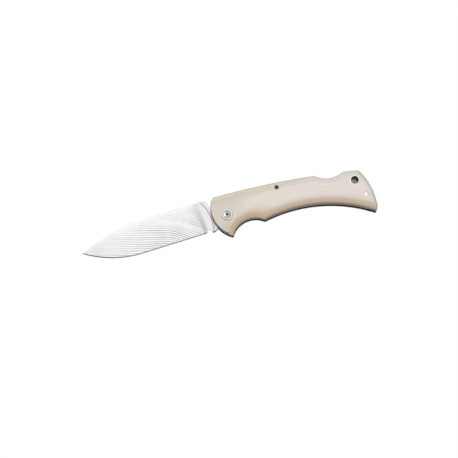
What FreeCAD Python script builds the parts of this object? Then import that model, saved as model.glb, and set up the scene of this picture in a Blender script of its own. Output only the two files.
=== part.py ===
"""A folding pocket knife with a back lock released at the rear, modelled open, in millimetres.

The origin is on the blade's pivot axis, in the plane that the knife lies on.
+X runs to the butt of the handle, +Y to the spine and +Z up through the thickness.
"""
import FreeCAD, Part

import math
import os

from FreeCAD import Vector

# Layers, from the face that the knife lies on: scale, sheet, liner, channel, liner, sheet, scale
SCALE_THICK = 3.8
SHEET_THICK = 0.6
LINER_THICK = 1.2

# Clearances
SEAT_FIT = 0.02
RUNNING_FIT = 0.03
BLADE_SIDE_GAP = 0.2
LOCK_PLAY = 0.12
BAR_SIDE_PLAY = 0.05
WASHER_PLAY = 0.04
SPACER_GAP = 0.4

# Handle outline, seen from above; sets are measured forwards from the butt's end, and up from the pivot
HANDLE_REACH = 98.8
BAR_OVER_CAM = 2.1
NOSE_TOP_X = -5.0
NOSE_SIDE_STEP = (-2.75, -2.15)
SCALLOP_FRONT_STEP = (-19.2, 2.85)
SCALLOP_REAR_SET = (-16.6, 5.75)
BUTT_TOP_SET = (-7.4, 4.1)
BUTT_UPPER_SET = (-5.2, 2.0)
BUTT_LOWER_SET = (-0.7, -19.5)
HEEL_LOW_SET = (-2.6, -25.9)
CUSP = (23.4, -10.75)
CHIN = (0.15, -14.8)

# How far each arc of the outline bows out from its chord; a hollow one is negative
NOSE_BOW = 0.35
SPINE_BOW = 1.02
SCALLOP_BOW = -2.98
BUTT_ROUND_BOW = 0.36
BUTT_BOW = 1.6
HEEL_BOW = 0.75
BELLY_BOW = -7.49
GROOVE_BOW = -5.45
FRONT_BOW = 5.6

# Crown of the scales along each edge of the outline: width, drop, the radius at the outer edge,
# and how far outside the outline that radius would end
SPINE_CROWN = (6.0, 2.0, 1.0, 0.0)
SCALLOP_CROWN = (4.5, 1.8, 1.0, 0.0)
BUTT_CROWN = (5.0, 2.0, 1.0, 0.0)
BELLY_CROWN = (8.0, 4.4, 3.5, 0.5)
GROOVE_CROWN = (7.5, 3.4, 2.0, 0.3)
FRONT_CROWN = (3.0, 1.2, 0.7, 0.0)

# Flat pad round the pivot, which runs out into the grip along a slanted line
PAD_DROP = 0.5
PAD_EDGE_X = 5.4
PAD_SLANT_DEG = 50.0
PAD_SWEEP_RADIUS = 8.0

# Blade
BLADE_THICK = 3.0
BLADE_SPINE_STEP = 0.0
TIP_OVERREACH = 1.0
TIP_Y = 2.7
SPINE_FALL_LENGTH = 51.8
BELLY_LENGTH = 37.8
BELLY_START_Y = -8.5
EDGE_HEEL_Y = -7.7
EDGE_BEVEL = 0.8
EDGE_THICK = 0.5
EDGE_FLAT = 0.05
TIP_BLEND = 6.0
TIP_CUT = 0.25
PLUNGE_RUN = 3.0
BLADE_STATIONS = 28
RICASSO_FOOT = 3.5
CHOIL_STEP = (-2.3, 0.1)
CHOIL_RADIUS = 1.9

# Tang, with the cam that the lock's hook rides on
RICASSO_EDGE = (-10.7, -1.2)
RICASSO_RADIUS = 25.0
SHOULDER_TOP_X = -11.6
SHOULDER_SLOPE = (1.1, -1.3)
SHOULDER_FOOT_RISE = 1.86
CAM_RADIUS = 10.0
NOTCH_EASE_DEG = 8.0
TOOTH_DEG = 102.0
CAM_END_DEG = -16.0
CAM_RAMP_DEG = 5.0
RELIEF_END_DEG = -115.0
KICK_FRONT = (-12.2, -8.4)
KICK_REAR_STEP = (1.8, 0.1)
KICK_NECK_STEP = (3.1, 1.9)
BLADE_CLOSED_DEG = 169.0

# Lock bar, leaf spring and back spacer
ROCKER = (36.8, 8.05)
ROCKER_RADIUS = 1.45
LOCK_LIFT = 1.2
HOOK_FRONT_DEG = 142.0
HOOK_CENTRE_X = -5.0
BAR_NOSE_X = -6.9
GULLET_EASE = 0.2
BAR_ROOT_DEG = 42.0
BAR_MID_STEP = (3.2, -4.65)
BAR_TAIL_STEP = (-1.6, -5.25)
SPRING_TOUCH_STEP = (-18.6, 1.1)
SPRING_THICK = 1.0
SPRING_PRELOAD_GAP = 0.05
SPRING_ROOT_DROP = 3.9
SPRING_HELD = 6.5
SPRING_FOOT = 1.2
SPACER_LEDGE = 4.1
SPACER_EDGE_GAP = 1.6

# Pivot
BARREL_RADIUS = 2.1
BARREL_HEAD_RADIUS = 2.55
BARREL_HEAD_THICK = 1.1
BARREL_HEAD_FIT = 0.05
SCREW_RADIUS = 1.25
SCREW_HEAD_RADIUS = 2.35
SCREW_HEAD_GROOVE = 0.25
SCREW_HEAD_RIM = 0.55
SCREW_DOME = 0.4
SCREW_LENGTH = 6.0
DRIVE_RADIUS = 0.8
DRIVE_LOBE_RADIUS = 0.3
DRIVE_LOBES = 6
DRIVE_DEPTH = 1.5
COLLAR_RADIUS = 3.8
COLLAR_CHAMFER = 0.3
WASHER_INSET = 2.18
WASHER_THICK = 0.5

# Lanyard tube and rear pin
LANYARD_SET = (-10.5, -2.0)
TUBE_RADIUS = 3.3
TUBE_WALL = 0.8
TUBE_FLARE = 0.2
REAR_PIN_SET = (-5.7, -13.4)
REAR_PIN_RADIUS = 1.55
PIN_INSET = 0.06
PIN_DOME = 0.25

# Levels worked out from the layers
CHANNEL_WIDTH = BLADE_THICK + 2 * BLADE_SIDE_GAP
REAR_SHEET_Z = SCALE_THICK
REAR_LINER_Z = REAR_SHEET_Z + SHEET_THICK
CHANNEL_Z = REAR_LINER_Z + LINER_THICK
FRONT_LINER_Z = CHANNEL_Z + CHANNEL_WIDTH
FRONT_SHEET_Z = FRONT_LINER_Z + LINER_THICK
FRONT_SCALE_Z = FRONT_SHEET_Z + SHEET_THICK
TOP_Z = FRONT_SCALE_Z + SCALE_THICK
MID_Z = TOP_Z / 2

PIVOT = (0, 0)
Z_AXIS = Vector(0, 0, 1)
REACH = 2 * HANDLE_REACH


def moved(point, step):
    return (point[0] + step[0], point[1] + step[1])


# Radii, angles and thickness of the lock worked out from its play
TANG_THICK = CHANNEL_WIDTH - 2 * (WASHER_THICK + WASHER_PLAY)
FLOOR_RADIUS = CAM_RADIUS - LOCK_LIFT - LOCK_PLAY
WASHER_RADIUS = FLOOR_RADIUS - WASHER_INSET
HOOK_RADIUS = CAM_RADIUS + LOCK_PLAY
GULLET_RADIUS = HOOK_RADIUS + LOCK_LIFT + GULLET_EASE
NOTCH_FRONT_DEG = HOOK_FRONT_DEG + NOTCH_EASE_DEG
RELIEF_START_DEG = CAM_END_DEG - CAM_RAMP_DEG
LOCK_ANGLE = math.degrees(LOCK_LIFT / (ROCKER[0] - HOOK_CENTRE_X))

# Places worked out from the sizes above
BUTT_END = (HANDLE_REACH, 0)
NOSE_TOP = (NOSE_TOP_X, GULLET_RADIUS + BAR_OVER_CAM)
NOSE_SIDE = moved(NOSE_TOP, NOSE_SIDE_STEP)
SCALLOP_REAR = moved(BUTT_END, SCALLOP_REAR_SET)
SCALLOP_FRONT = moved(SCALLOP_REAR, SCALLOP_FRONT_STEP)
BUTT_TOP = moved(BUTT_END, BUTT_TOP_SET)
BUTT_UPPER = moved(BUTT_END, BUTT_UPPER_SET)
BUTT_LOWER = moved(BUTT_END, BUTT_LOWER_SET)
HEEL_LOW = moved(BUTT_END, HEEL_LOW_SET)
LANYARD = moved(BUTT_END, LANYARD_SET)
REAR_PIN = moved(BUTT_END, REAR_PIN_SET)
BLADE_SPINE_Y = NOSE_TOP[1] - BLADE_SPINE_STEP
TIP = (-HANDLE_REACH - TIP_OVERREACH, TIP_Y)
SPINE_FALL_X = TIP[0] + SPINE_FALL_LENGTH
BELLY_START = (TIP[0] + BELLY_LENGTH, BELLY_START_Y)
PLUNGE_X = KICK_FRONT[0] - RICASSO_FOOT
CHOIL_CENTRE = moved((KICK_FRONT[0], EDGE_HEEL_Y), CHOIL_STEP)
KICK_REAR = moved(KICK_FRONT, KICK_REAR_STEP)
KICK_NECK = moved(KICK_REAR, KICK_NECK_STEP)
BAR_MID = moved(ROCKER, BAR_MID_STEP)
BAR_TAIL = moved(SCALLOP_REAR, BAR_TAIL_STEP)
SPRING_TOUCH = moved(BAR_TAIL, SPRING_TOUCH_STEP)
SPRING_ROOT_Y = BAR_TAIL[1] - SPRING_ROOT_DROP
SPACER_FRONT_X = BAR_TAIL[0] - SPACER_LEDGE
SPRING_SLOT_END_X = SPACER_FRONT_X + SPRING_HELD
TUBE_BORE_RADIUS = TUBE_RADIUS - TUBE_WALL

# Each arc of the outline, clockwise from the nose: its ends, its bow, and the crown along it
OUTLINE = [
    (NOSE_SIDE, NOSE_TOP, NOSE_BOW, None),
    (NOSE_TOP, SCALLOP_FRONT, SPINE_BOW, SPINE_CROWN),
    (SCALLOP_FRONT, SCALLOP_REAR, SCALLOP_BOW, SCALLOP_CROWN),
    (SCALLOP_REAR, BUTT_TOP, 0, SCALLOP_CROWN),
    (BUTT_TOP, BUTT_UPPER, BUTT_ROUND_BOW, None),
    (BUTT_UPPER, BUTT_LOWER, BUTT_BOW, BUTT_CROWN),
    (BUTT_LOWER, HEEL_LOW, HEEL_BOW, None),
    (HEEL_LOW, CUSP, BELLY_BOW, BELLY_CROWN),
    (CUSP, CHIN, GROOVE_BOW, GROOVE_CROWN),
    (CHIN, NOSE_SIDE, FRONT_BOW, FRONT_CROWN),
]


def polar(radius, degrees):
    """The point at a radius and angle about the blade's pivot."""
    return (radius * math.cos(math.radians(degrees)), radius * math.sin(math.radians(degrees)))


def closed(point):
    """Where a point of the blade lies once the blade is folded into the handle."""
    radius = math.hypot(point[0], point[1])
    return polar(radius, math.degrees(math.atan2(point[1], point[0])) + BLADE_CLOSED_DEG)


def at(point, z=0.0):
    return Vector(point[0], point[1], z)


def arc_edge(start, middle, end):
    return Part.Arc(at(start), at(middle), at(end)).toShape()


def round_edge(radius, start_deg, end_deg):
    """An arc about the blade's pivot."""
    middle_deg = (start_deg + end_deg) / 2
    return arc_edge(polar(radius, start_deg), polar(radius, middle_deg), polar(radius, end_deg))


def line_edge(start, end):
    return Part.LineSegment(at(start), at(end)).toShape()


def lines(*points):
    return [line_edge(a, b) for a, b in zip(points, points[1:])]


def prism(edges, bottom, thick):
    """The solid on a closed outline, from a level upwards."""
    face = Part.Face(Part.Wire(edges))
    face.translate(Vector(0, 0, bottom))
    return face.extrude(Vector(0, 0, thick))


def rod(centre, radius, bottom, top):
    return Part.makeCylinder(radius, top - bottom, at(centre, bottom))


def dome(centre, radius, bottom, rise):
    """A shallow cap of a ball on a round end."""
    ball_radius = (radius**2 + rise**2) / (2 * rise)
    ball = Part.makeSphere(ball_radius, at(centre, bottom + rise - ball_radius))
    return ball.common(rod(centre, radius, bottom, bottom + rise))


def turned(profile, centre):
    """The solid of revolution of (radius, level) points about an upright axis."""
    points = [Vector(centre[0] + r, centre[1], z) for r, z in profile]
    face = Part.Face(Part.makePolygon(points + points[:1]))
    return face.revolve(at(centre), Z_AXIS, 360)


def mirrored(shape):
    """The same piece on the other side of the knife's middle plane."""
    return shape.mirror(Vector(0, 0, MID_Z), Z_AXIS)


def bow_point(start, end, bow):
    """The middle of an arc that bows to the left of its chord."""
    half = (at(end) - at(start)) / 2
    across = Vector(-half.y, half.x, 0).normalize()
    return at(start) + half + across * bow


def outline_edge(start, end, bow):
    if bow == 0:
        return line_edge(start, end)
    return arc_edge(start, bow_point(start, end, bow), end)


def handle_outline():
    return [outline_edge(start, end, bow) for start, end, bow, _ in OUTLINE]


def handle_layer(bottom, thick):
    """A full plate of the handle, with the holes that every layer but the scales shares."""
    plate = prism(handle_outline(), bottom, thick)
    holes = [
        (PIVOT, BARREL_RADIUS),
        (ROCKER, ROCKER_RADIUS),
        (LANYARD, TUBE_RADIUS),
        (REAR_PIN, REAR_PIN_RADIUS),
    ]
    for centre, radius in holes:
        plate = plate.cut(rod(centre, radius + SEAT_FIT, bottom, bottom + thick))
    return plate


def crown_profile(crown, start, inward):
    """The area above a crowned edge: a small arc up from the side, then a wide one that ends level."""
    width, drop, edge_radius, overhang = crown
    reach = width - edge_radius
    wide_radius = (reach**2 + drop**2 - edge_radius**2) / (2 * (drop - edge_radius))
    tilt = math.asin(reach / (wide_radius - edge_radius))
    outside = 2 * edge_radius

    def place(depth, level):
        return Vector(start[0], start[1], TOP_Z + level) + inward * (depth - overhang)

    def on_arc(centre_depth, centre_level, radius, angle):
        return place(centre_depth - radius * math.sin(angle), centre_level + radius * math.cos(angle))

    side = place(0, -drop)
    join = on_arc(edge_radius, -drop, edge_radius, tilt)
    top = place(width, 0)
    edge_mid = on_arc(edge_radius, -drop, edge_radius, (tilt + math.pi / 2) / 2)
    wide_mid = on_arc(width, -wide_radius, wide_radius, tilt / 2)
    corners = [top, place(width, drop), place(-outside, drop), place(-outside, -drop), side]
    edges = [Part.Arc(side, edge_mid, join).toShape(), Part.Arc(join, wide_mid, top).toShape()]
    edges += [Part.LineSegment(a, b).toShape() for a, b in zip(corners, corners[1:])]
    return Part.Face(Part.Wire(edges))


def crown_cutter(start, end, bow, crown):
    """What the crown takes off along one edge of the outline."""
    along = at(end) - at(start)
    if bow == 0:
        return crown_profile(crown, start, Vector(along.y, -along.x, 0).normalize()).extrude(along)
    middle = bow_point(start, end, bow)
    circle = arc_edge(start, middle, end).Curve
    centre = circle.Center
    spoke = at(start) - centre
    swing = 2 * (middle - centre).getAngle(spoke)
    turn = 1 if bow < 0 else -1
    overrun = crown[0] / circle.Radius
    cutter = crown_profile(crown, start, (spoke * turn).normalize())
    cutter.rotate(centre, Z_AXIS, -turn * math.degrees(overrun))
    return cutter.revolve(centre, Z_AXIS, turn * math.degrees(swing + 2 * overrun))


def pad_cutter():
    """The flat pad round the pivot, with a sweep that rises into the grip."""
    run = math.sqrt(2 * PAD_SWEEP_RADIUS * PAD_DROP - PAD_DROP**2)
    rise = PAD_SWEEP_RADIUS - math.sqrt(PAD_SWEEP_RADIUS**2 - (run / 2) ** 2)
    floor = Vector(0, 0, -PAD_DROP)
    out = Vector(run, 0, 0)
    far = Vector(-REACH, 0, 0)
    up = Vector(0, 0, PAD_DROP)
    edges = [
        Part.LineSegment(far + floor, floor).toShape(),
        Part.Arc(floor, Vector(run / 2, 0, rise - PAD_DROP), out).toShape(),
        Part.LineSegment(out, out + up).toShape(),
        Part.LineSegment(out + up, far + up).toShape(),
        Part.LineSegment(far + up, far + floor).toShape(),
    ]
    cutter = Part.Face(Part.Wire(edges))
    cutter.translate(Vector(0, -REACH / 2, 0))
    cutter = cutter.extrude(Vector(0, REACH, 0))
    cutter.rotate(Vector(0, 0, 0), Z_AXIS, PAD_SLANT_DEG - 90)
    cutter.translate(Vector(PAD_EDGE_X, 0, TOP_Z))
    return cutter


def front_scale():
    scale = prism(handle_outline(), FRONT_SCALE_Z, SCALE_THICK)
    cutters = [crown_cutter(*edge) for edge in OUTLINE if edge[-1]]
    cutters.append(pad_cutter())
    holes = [
        (PIVOT, COLLAR_RADIUS),
        (ROCKER, ROCKER_RADIUS),
        (LANYARD, TUBE_RADIUS),
        (REAR_PIN, REAR_PIN_RADIUS),
    ]
    cutters += [rod(centre, radius + SEAT_FIT, FRONT_SCALE_Z, TOP_Z) for centre, radius in holes]
    for cutter in cutters:
        scale = scale.cut(cutter)
    return scale


def level_arc_y(x, start, end):
    """The height of an arc that leaves its start level and passes through its end."""
    run = end[0] - start[0]
    fall = end[1] - start[1]
    radius = (run**2 + fall**2) / (2 * abs(fall))
    return start[1] + math.copysign(radius - math.sqrt(radius**2 - (x - start[0]) ** 2), fall)


def spine_y(x):
    if x > SPINE_FALL_X:
        return BLADE_SPINE_Y
    return level_arc_y(x, (SPINE_FALL_X, BLADE_SPINE_Y), TIP)


def edge_y(x):
    if x < BELLY_START[0]:
        return level_arc_y(x, BELLY_START, TIP)
    share = (x - BELLY_START[0]) / (PLUNGE_X - BELLY_START[0])
    return BELLY_START[1] + (EDGE_HEEL_Y - BELLY_START[1]) * share


def blade_section(x, spine_half, shoulder_half, bevel):
    """A six-sided slice: the spine's two corners, the two shoulders of the edge bevel, and the edge."""
    low = edge_y(x)
    high = spine_y(x)
    corners = [
        (high, -spine_half),
        (high, spine_half),
        (low + bevel, shoulder_half),
        (low, EDGE_FLAT / 2),
        (low, -EDGE_FLAT / 2),
        (low + bevel, -shoulder_half),
    ]
    points = [Vector(x, y, MID_Z + z) for y, z in corners]
    return Part.makePolygon(points + points[:1])


def ground_section(x):
    """The slice of the ground blade, which thins in step with its height towards the tip."""
    height = spine_y(x) - edge_y(x)
    full = BLADE_SPINE_Y - BELLY_START[1]
    shrink = min(1.0, height / TIP_BLEND)
    spine_half = BLADE_THICK / 2 * min(1.0, height / full)
    return blade_section(x, spine_half, EDGE_THICK / 2 * shrink, EDGE_BEVEL * shrink)


def ground_blade():
    start = PLUNGE_X - PLUNGE_RUN
    run = start - TIP[0] - TIP_CUT
    steps = BLADE_STATIONS - 1
    stations = [start - run * math.sin(math.pi / 2 * i / steps) for i in range(BLADE_STATIONS)]
    return Part.makeLoft([ground_section(x) for x in stations], True, True)


def plunge():
    """The short slope from the full thickness of the ricasso to the ground faces."""
    full = blade_section(PLUNGE_X, BLADE_THICK / 2, BLADE_THICK / 2, EDGE_BEVEL)
    return Part.makeLoft([full, ground_section(PLUNGE_X - PLUNGE_RUN)], True, True)


def tang_plate():
    """The ricasso and tang, with the lock's notch, the cam, the relief for the closed lock and the kick."""
    tooth_foot = polar(FLOOR_RADIUS, TOOTH_DEG)
    tooth_top = polar(CAM_RADIUS, TOOTH_DEG)
    edges = lines(
        (PLUNGE_X, EDGE_HEEL_Y),
        (PLUNGE_X, BLADE_SPINE_Y),
        (SHOULDER_TOP_X, BLADE_SPINE_Y),
        moved((SHOULDER_TOP_X, BLADE_SPINE_Y), SHOULDER_SLOPE),
        polar(FLOOR_RADIUS + SHOULDER_FOOT_RISE, NOTCH_FRONT_DEG),
        polar(FLOOR_RADIUS, NOTCH_FRONT_DEG),
    )
    edges.append(round_edge(FLOOR_RADIUS, NOTCH_FRONT_DEG, TOOTH_DEG))
    edges.append(line_edge(tooth_foot, tooth_top))
    edges.append(round_edge(CAM_RADIUS, TOOTH_DEG, CAM_END_DEG))
    edges.append(line_edge(polar(CAM_RADIUS, CAM_END_DEG), polar(FLOOR_RADIUS, RELIEF_START_DEG)))
    edges.append(round_edge(FLOOR_RADIUS, RELIEF_START_DEG, RELIEF_END_DEG))
    edges += lines(
        polar(FLOOR_RADIUS, RELIEF_END_DEG),
        KICK_NECK,
        KICK_REAR,
        KICK_FRONT,
        (CHOIL_CENTRE[0] + CHOIL_RADIUS, CHOIL_CENTRE[1]),
        (PLUNGE_X, EDGE_HEEL_Y),
    )
    return prism(edges, MID_Z - BLADE_THICK / 2, BLADE_THICK)


def tang_relief():
    """What is taken off both faces of the tang so that it runs between the washers."""
    depth = (BLADE_THICK - TANG_THICK) / 2
    corner = (PLUNGE_X, -REACH / 2)
    slab = Part.makeBox(REACH, REACH, depth, at(corner, MID_Z + TANG_THICK / 2))
    slab = slab.cut(rod(moved(RICASSO_EDGE, (-RICASSO_RADIUS, 0)), RICASSO_RADIUS, 0, TOP_Z))
    return slab.fuse(mirrored(slab))


def blade():
    plate = tang_plate().cut(rod(CHOIL_CENTRE, CHOIL_RADIUS, 0, TOP_Z))
    plate = plate.cut(rod(PIVOT, BARREL_RADIUS + RUNNING_FIT, 0, TOP_Z))
    plate = plate.cut(tang_relief())
    return plate.fuse(plunge()).fuse(ground_blade()).removeSplitter()


def kick_stop():
    """The point under the pressed bar that meets the closed blade's kick once the bar drops."""
    x, y = closed(KICK_REAR)
    drop = LOCK_LIFT * (ROCKER[0] - x) / (ROCKER[0] - HOOK_CENTRE_X)
    return (x, y + drop + LOCK_PLAY)


def lock_bar():
    """The rocking bar, flush with the handle's back when pressed, its hook just clear of the cam."""
    hook_rear_deg = TOOTH_DEG + math.degrees(LOCK_PLAY / CAM_RADIUS)
    hook_rear = polar(HOOK_RADIUS, hook_rear_deg)
    gullet_deg = 90 + math.degrees(math.asin(-hook_rear[0] / GULLET_RADIUS))
    gullet = polar(GULLET_RADIUS, gullet_deg)
    edges = lines(
        (BAR_TAIL[0], REACH),
        (BAR_NOSE_X, REACH),
        (BAR_NOSE_X, NOSE_SIDE[1]),
        polar(HOOK_RADIUS, HOOK_FRONT_DEG),
    )
    edges.append(round_edge(HOOK_RADIUS, HOOK_FRONT_DEG, hook_rear_deg))
    edges.append(line_edge(hook_rear, gullet))
    edges.append(round_edge(GULLET_RADIUS, gullet_deg, BAR_ROOT_DEG))
    edges += lines(
        polar(GULLET_RADIUS, BAR_ROOT_DEG),
        kick_stop(),
        BAR_MID,
        SPRING_TOUCH,
        BAR_TAIL,
        (BAR_TAIL[0], REACH),
    )
    bottom = CHANNEL_Z + BAR_SIDE_PLAY
    thick = CHANNEL_WIDTH - 2 * BAR_SIDE_PLAY
    bar = prism(edges, bottom, thick).common(prism(handle_outline(), bottom, thick))
    return bar.cut(rod(ROCKER, ROCKER_RADIUS + RUNNING_FIT, 0, TOP_Z))


def spring_edges(offset):
    """The leaf's outline, widened by an offset where it makes the slot in the spacer."""
    half = SPRING_THICK / 2 + offset
    touch_y = SPRING_TOUCH[1] - SPRING_PRELOAD_GAP - SPRING_THICK / 2
    tip = (SPRING_TOUCH[0], touch_y)
    bend = (SPACER_FRONT_X, SPRING_ROOT_Y)
    middle_x = (tip[0] + bend[0]) / 2
    middle = (middle_x, level_arc_y(middle_x, bend, tip))
    end_x = SPRING_SLOT_END_X + offset

    def raised(point, side):
        return (point[0], point[1] + side * half)

    foot_x = end_x - SPRING_THICK - 2 * offset
    foot_y = SPRING_ROOT_Y - half - SPRING_FOOT
    top = [arc_edge(raised(tip, 1), raised(middle, 1), raised(bend, 1))]
    low = [arc_edge(raised(bend, -1), raised(middle, -1), raised(tip, -1))]
    root = lines(
        raised(bend, 1),
        (end_x, SPRING_ROOT_Y + half),
        (end_x, foot_y),
        (foot_x, foot_y),
        (foot_x, SPRING_ROOT_Y - half),
        raised(bend, -1),
    )
    return top + root + low + [line_edge(raised(tip, -1), raised(tip, 1))]


def lock_spring():
    return prism(spring_edges(0), CHANNEL_Z + BAR_SIDE_PLAY, CHANNEL_WIDTH - 2 * BAR_SIDE_PLAY)


def over_closed_edge(x):
    """A point a clear gap above the edge of the closed blade, for a place along the open one."""
    across, up = closed((x, edge_y(x)))
    return (across, up + SPACER_EDGE_GAP)


def back_spacer():
    """The block that closes the channel at the butt, above the closed blade, and holds the spring."""
    front_top_x = BAR_TAIL[0] + SPACER_GAP
    ledge_y = BAR_TAIL[1] - SPACER_GAP
    foot = (SPACER_FRONT_X, over_closed_edge(-SPACER_FRONT_X)[1])
    middle = over_closed_edge((TIP[0] - SPACER_FRONT_X) / 2)
    rear = over_closed_edge(TIP[0])
    edges = lines((front_top_x, REACH), (front_top_x, ledge_y), (SPACER_FRONT_X, ledge_y), foot)
    edges.append(arc_edge(foot, middle, rear))
    edges += lines(rear, (REACH, rear[1]), (REACH, REACH), (front_top_x, REACH))
    spacer = prism(edges, CHANNEL_Z, CHANNEL_WIDTH)
    spacer = spacer.common(prism(handle_outline(), CHANNEL_Z, CHANNEL_WIDTH))
    spacer = spacer.cut(prism(spring_edges(SEAT_FIT), CHANNEL_Z, CHANNEL_WIDTH))
    spacer = spacer.cut(rod(LANYARD, TUBE_RADIUS + SEAT_FIT, 0, TOP_Z))
    return spacer.cut(rod(REAR_PIN, REAR_PIN_RADIUS + SEAT_FIT, 0, TOP_Z))


def pivot_barrel():
    """The shaft that the blade turns on, with a flat head at the rear and a hole for the screw."""
    top = FRONT_SCALE_Z
    shaft = rod(PIVOT, BARREL_RADIUS, 0, top)
    head = rod(PIVOT, BARREL_HEAD_RADIUS, 0, BARREL_HEAD_THICK)
    hole = rod(PIVOT, SCREW_RADIUS + SEAT_FIT, top - SCREW_LENGTH, top)
    return shaft.fuse(head).cut(hole)


def collar(hole_radius, well_radius, well_floor):
    """A turned ring that lines the front scale's hole, with a well for the head of the pivot."""
    outer = COLLAR_RADIUS
    return turned(
        [
            (hole_radius, FRONT_SCALE_Z),
            (outer, FRONT_SCALE_Z),
            (outer, TOP_Z - COLLAR_CHAMFER),
            (outer - COLLAR_CHAMFER, TOP_Z),
            (well_radius, TOP_Z),
            (well_radius, well_floor),
            (hole_radius, well_floor),
        ],
        PIVOT,
    )


def screw_seat_z():
    return TOP_Z - SCREW_HEAD_RIM - SCREW_DOME


def pivot_screw():
    """A domed screw with a lobed socket, driven into the barrel."""
    seat = screw_seat_z()
    rim_z = seat + SCREW_HEAD_RIM
    shank = rod(PIVOT, SCREW_RADIUS, FRONT_SCALE_Z - SCREW_LENGTH + SEAT_FIT, seat)
    rim = rod(PIVOT, SCREW_HEAD_RADIUS, seat, rim_z)
    screw = shank.fuse(rim).fuse(dome(PIVOT, SCREW_HEAD_RADIUS, rim_z, SCREW_DOME)).removeSplitter()
    floor = TOP_Z - DRIVE_DEPTH
    screw = screw.cut(rod(PIVOT, DRIVE_RADIUS, floor, TOP_Z))
    for lobe in range(DRIVE_LOBES):
        centre = polar(DRIVE_RADIUS, lobe * 360 / DRIVE_LOBES)
        screw = screw.cut(rod(centre, DRIVE_LOBE_RADIUS, floor, TOP_Z))
    return screw


def washer(bottom):
    ring = rod(PIVOT, WASHER_RADIUS, bottom, bottom + WASHER_THICK)
    return ring.cut(rod(PIVOT, BARREL_RADIUS + SEAT_FIT, bottom, bottom + WASHER_THICK))


def domed_pin(centre, radius):
    """A pin through the whole handle, its ends domed and just below the scales' faces."""
    high = TOP_Z - PIN_INSET - PIN_DOME
    cap = dome(centre, radius, high, PIN_DOME)
    return rod(centre, radius, TOP_Z - high, high).fuse(cap).fuse(mirrored(cap)).removeSplitter()


def lanyard_tube():
    """The lined hole for a cord, its bore eased at both ends."""
    low = PIN_INSET
    high = TOP_Z - PIN_INSET
    return turned(
        [
            (TUBE_BORE_RADIUS, low + TUBE_FLARE),
            (TUBE_BORE_RADIUS + TUBE_FLARE, low),
            (TUBE_RADIUS, low),
            (TUBE_RADIUS, high),
            (TUBE_BORE_RADIUS + TUBE_FLARE, high),
            (TUBE_BORE_RADIUS, high - TUBE_FLARE),
        ],
        LANYARD,
    )


def build():
    scale = front_scale()
    front_collar = collar(SCREW_RADIUS + SEAT_FIT, SCREW_HEAD_RADIUS + SCREW_HEAD_GROOVE, screw_seat_z())
    rear_well = BARREL_HEAD_RADIUS + BARREL_HEAD_FIT
    rear_collar = collar(BARREL_RADIUS + SEAT_FIT, rear_well, TOP_Z - BARREL_HEAD_THICK)
    return {
        "blade": blade(),
        "front_scale": scale,
        "rear_scale": mirrored(scale),
        "front_fibre_sheet": handle_layer(FRONT_SHEET_Z, SHEET_THICK),
        "rear_fibre_sheet": handle_layer(REAR_SHEET_Z, SHEET_THICK),
        "front_liner": handle_layer(FRONT_LINER_Z, LINER_THICK),
        "rear_liner": handle_layer(REAR_LINER_Z, LINER_THICK),
        "lock_bar": lock_bar(),
        "lock_spring": lock_spring(),
        "back_spacer": back_spacer(),
        "pivot_barrel": pivot_barrel(),
        "pivot_screw": pivot_screw(),
        "front_pivot_collar": front_collar,
        "rear_pivot_collar": mirrored(rear_collar),
        "front_washer": washer(FRONT_LINER_Z - WASHER_THICK),
        "rear_washer": washer(CHANNEL_Z),
        "rocker_pin": domed_pin(ROCKER, ROCKER_RADIUS),
        "lanyard_tube": lanyard_tube(),
        "rear_pin": domed_pin(REAR_PIN, REAR_PIN_RADIUS),
    }


def main():
    os.makedirs("parts", exist_ok=True)
    for name, shape in build().items():
        print(name, len(shape.Solids), shape.isValid(), round(shape.Volume, 1))
        shape.exportStep(f"parts/{name}.step")
    print("lock angle", round(LOCK_ANGLE, 3), "thickness", round(TOP_Z, 2))


main()
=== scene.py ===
"""Looks of a folding pocket knife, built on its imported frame.

The frame's origin is on the blade's pivot axis, in the plane that the knife lies on.
+X runs to the butt of the handle, +Y to the spine and +Z up, out of the front scale.
Sizes of the knife are in millimetres, those of the studio in metres.
"""

import logging
import math
from collections.abc import Mapping, Sequence
from dataclasses import dataclass
from enum import Enum
from typing import Any, Union

import bmesh
import bpy
from mathutils import Matrix, Vector


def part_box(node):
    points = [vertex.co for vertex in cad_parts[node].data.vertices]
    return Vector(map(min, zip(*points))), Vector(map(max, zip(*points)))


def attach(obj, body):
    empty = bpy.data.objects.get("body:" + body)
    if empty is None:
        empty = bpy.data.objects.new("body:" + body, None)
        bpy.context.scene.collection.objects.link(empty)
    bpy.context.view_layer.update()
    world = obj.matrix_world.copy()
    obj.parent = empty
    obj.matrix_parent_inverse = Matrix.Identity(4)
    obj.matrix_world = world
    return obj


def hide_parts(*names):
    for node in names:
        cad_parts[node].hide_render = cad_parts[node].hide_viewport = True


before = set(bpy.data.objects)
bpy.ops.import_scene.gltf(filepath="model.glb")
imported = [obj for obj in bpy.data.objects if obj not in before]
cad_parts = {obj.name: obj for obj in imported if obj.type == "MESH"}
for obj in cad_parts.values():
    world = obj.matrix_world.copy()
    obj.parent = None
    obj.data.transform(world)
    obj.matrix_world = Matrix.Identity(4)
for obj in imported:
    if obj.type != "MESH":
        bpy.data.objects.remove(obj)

MM = 0.001
MID_HEIGHT = 7.3
FACE_HEIGHT = 2.0 * MID_HEIGHT
PHOTO_TURN = math.radians(16.5)
MERGE_REACH = 1e-6
FLAT_ANGLE = math.radians(0.2)
SHARP_ANGLE = math.radians(40.0)
PLAIN = (1.0, 1.0, 1.0)
LEVEL = (1.0, 1.0, 0.0)
LOG = logging.getLogger("pocket_knife")

Triple = tuple[float, float, float]
Colour = Triple
Point = tuple[float, float]
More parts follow.
